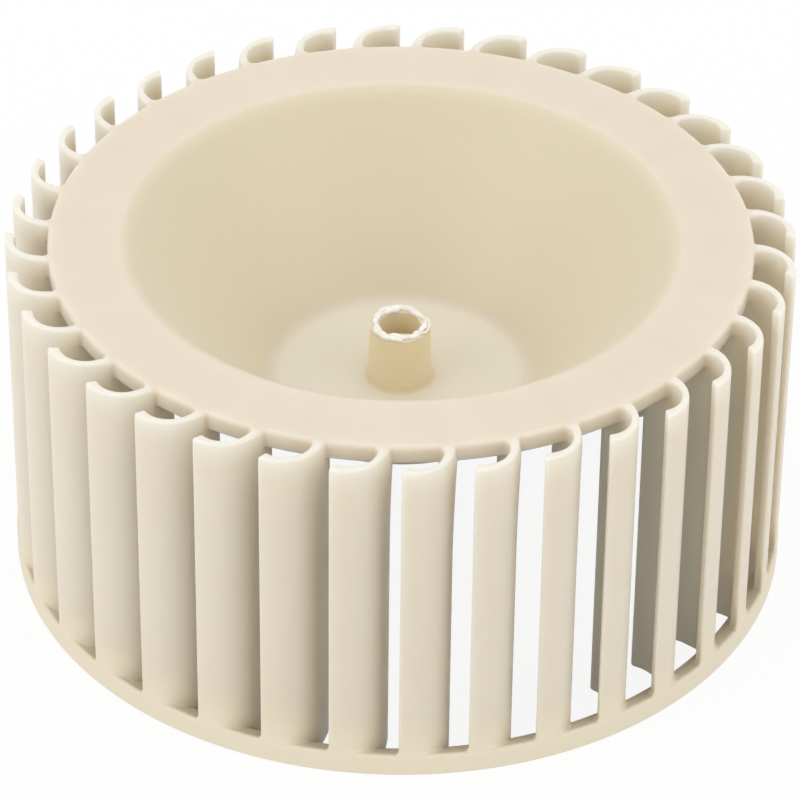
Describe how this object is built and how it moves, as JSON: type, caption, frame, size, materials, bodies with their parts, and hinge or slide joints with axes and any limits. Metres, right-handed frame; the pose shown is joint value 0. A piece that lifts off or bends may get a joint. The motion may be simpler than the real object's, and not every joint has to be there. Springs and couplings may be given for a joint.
{
  "type": "blower wheel",
  "caption": "Moulded forward-curved centrifugal blower wheel with a dished drive plate, D-bored hub and an end ring.",
  "frame": {"origin": "middle of the ring's bottom face, on the wheel's axis", "axes": "+Z along the axis from the inlet ring up to the drive plate, -Y towards the bore's flat"},
  "size_m": [0.1524, 0.1524, 0.0713],
  "materials": {
    "moulded_plastic": "cream moulded ABS, fine satin"
  },
  "bodies": {
    "root": {"blower_wheel": "moulded_plastic"}
  },
  "joints": []
}
